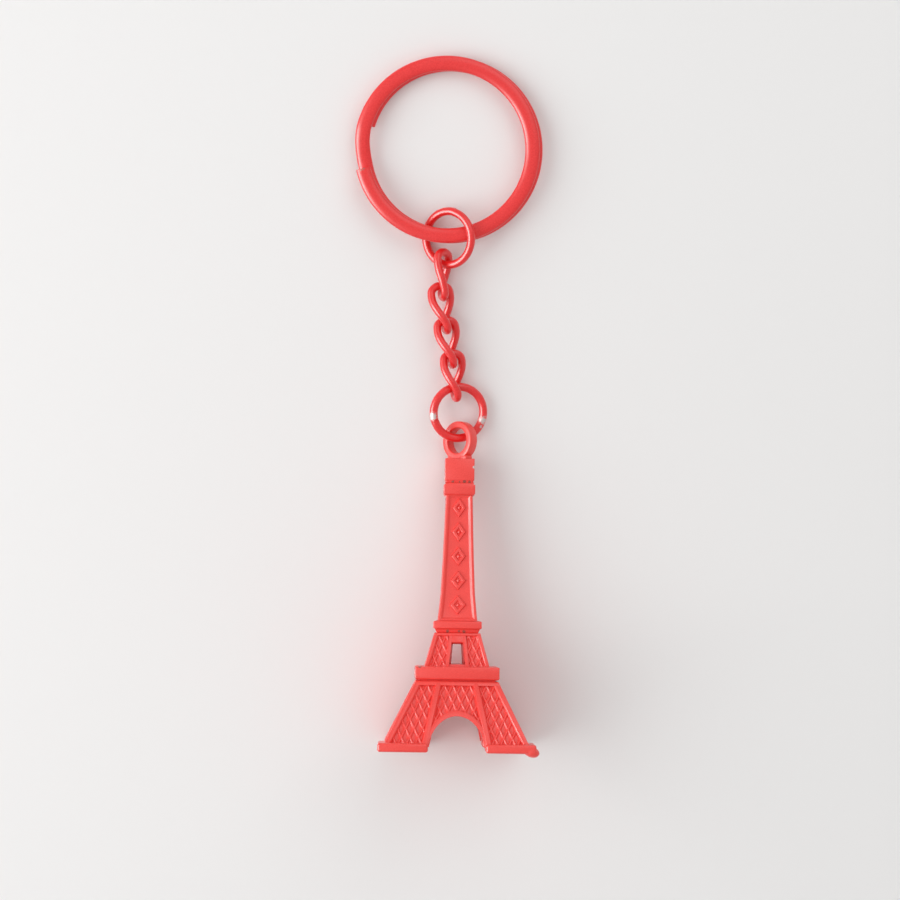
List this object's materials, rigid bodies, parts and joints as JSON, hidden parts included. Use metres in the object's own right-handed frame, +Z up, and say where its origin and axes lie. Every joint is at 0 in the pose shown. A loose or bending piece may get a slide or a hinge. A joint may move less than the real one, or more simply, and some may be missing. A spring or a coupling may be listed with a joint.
{
  "type": "keychain",
  "caption": "Keychain with a split ring, a short twisted chain between two jump rings, and a cast four-legged lattice tower charm.",
  "frame": {"origin": "middle of the lying keychain's box, on the table it lies on", "axes": "+Z up from the table, +Y along the keychain from the tower's feet to the split ring, +X to the right"},
  "size_m": [0.0248, 0.0933, 0.0202],
  "materials": {
    "casting_enamel": "glossy sprayed red enamel over a zinc casting, thin on the raised edges",
    "wire_enamel": "glossy sprayed red enamel over round steel wire, chipped at the butted ends",
    "ring_enamel": "glossy sprayed red enamel over flattened spring wire, chipped at the cut ends"
  },
  "bodies": {
    "tower_charm": {"tower_charm": "casting_enamel"},
    "lower_jump_ring": {"lower_jump_ring": "wire_enamel"},
    "chain_link_4": {"chain_link_4": "wire_enamel"},
    "chain_link_3": {"chain_link_3": "wire_enamel"},
    "chain_link_2": {"chain_link_2": "wire_enamel"},
    "chain_link_1": {"chain_link_1": "wire_enamel"},
    "upper_jump_ring": {"upper_jump_ring": "wire_enamel"},
    "split_ring": {"split_ring": "ring_enamel"}
  },
  "joints": [
    {"name": "lower_ring_fold", "type": "hinge", "parent": "tower_charm", "child": "lower_jump_ring", "pos_m": [0.00136, -0.00391, 0.00202], "axis": [0.9659, 0, -0.2588], "range_deg": [-35, 90]},
    {"name": "link_4_swing", "type": "hinge", "parent": "lower_jump_ring", "child": "chain_link_4", "pos_m": [0.00122, 0.00145, 0.00208], "axis": [0.2323, 0.0232, 0.9724], "range_deg": [-60, 60]},
    {"name": "link_3_fold", "type": "hinge", "parent": "chain_link_4", "child": "chain_link_3", "pos_m": [0.00062, 0.00747, 0.00208], "axis": [0.9676, 0.0966, -0.2334], "range_deg": [-50, 40]},
    {"name": "link_2_swing", "type": "hinge", "parent": "chain_link_3", "child": "chain_link_2", "pos_m": [0.00005, 0.01049, 0.00208], "axis": [-0.1965, -0.0336, -0.9799], "range_deg": [-50, 50]},
    {"name": "link_1_fold", "type": "hinge", "parent": "chain_link_2", "child": "chain_link_1", "pos_m": [-0.00097, 0.01645, 0.00208], "axis": [-0.9659, -0.1651, 0.1994], "range_deg": [-50, 40]},
    {"name": "upper_ring_fold", "type": "hinge", "parent": "chain_link_1", "child": "upper_jump_ring", "pos_m": [-0.0011, 0.01952, 0.00174], "axis": [-0.7776, 0.3746, -0.505], "range_deg": [-45, 90]},
    {"name": "split_ring_turn", "type": "hinge", "parent": "upper_jump_ring", "child": "split_ring", "pos_m": [-0.0002, 0.0344, 0.00178], "axis": [0, 0.0627, 0.998], "continuous": true}
  ]
}
